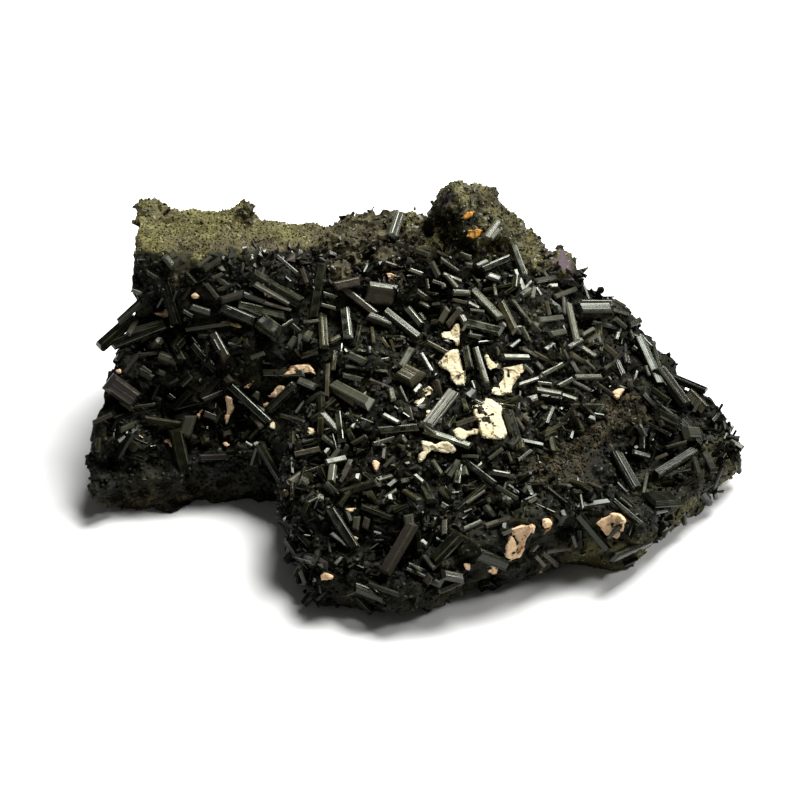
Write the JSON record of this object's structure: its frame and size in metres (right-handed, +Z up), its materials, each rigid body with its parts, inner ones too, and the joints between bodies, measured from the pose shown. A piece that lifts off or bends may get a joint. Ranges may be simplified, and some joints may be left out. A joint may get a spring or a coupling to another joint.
{
  "type": "rough epidote specimen",
  "caption": "Rough epidote rock: a broken granular block with a flat shelf and a rear knob, coated in crossing dark green prisms with cream mineral between them.",
  "frame": {"origin": "on the resting face, under the middle of the block", "axes": "+X to the right along the block's length, +Y to the back, where the shelf and the knob are, +Z up from the resting face"},
  "size_m": [0.1289, 0.0869, 0.0503],
  "materials": {
    "dark_epidote": "rough, granular broken mineral, dark olive green",
    "crystal_epidote": "glassy crystal faces, green-black",
    "pale_mineral": "dull, pitted, cream"
  },
  "bodies": {
    "root": {"matrix": "dark_epidote", "large_crystal_01": "crystal_epidote", "large_crystal_02": "crystal_epidote", "large_crystal_03": "crystal_epidote", "large_crystal_04": "crystal_epidote", "large_crystal_05": "crystal_epidote", "large_crystal_06": "crystal_epidote", "large_crystal_07": "crystal_epidote", "large_crystal_08": "crystal_epidote", "large_crystal_09": "crystal_epidote", "large_crystal_10": "crystal_epidote", "large_crystal_11": "crystal_epidote", "large_crystal_12": "crystal_epidote", "large_crystal_13": "crystal_epidote", "large_crystal_14": "crystal_epidote", "large_crystal_15": "crystal_epidote", "large_crystal_16": "crystal_epidote", "large_crystal_17": "crystal_epidote", "large_crystal_18": "crystal_epidote", "large_crystal_19": "crystal_epidote", "large_crystal_20": "crystal_epidote", "large_crystal_21": "crystal_epidote", "large_crystal_22": "crystal_epidote", "large_crystal_23": "crystal_epidote", "large_crystal_24": "crystal_epidote", "pale_patch_01": "pale_mineral", "pale_patch_02": "pale_mineral", "pale_patch_03": "pale_mineral", "pale_patch_04": "pale_mineral", "pale_patch_05": "pale_mineral", "pale_patch_06": "pale_mineral", "pale_patch_07": "pale_mineral", "pale_patch_08": "pale_mineral"}
  },
  "joints": []
}
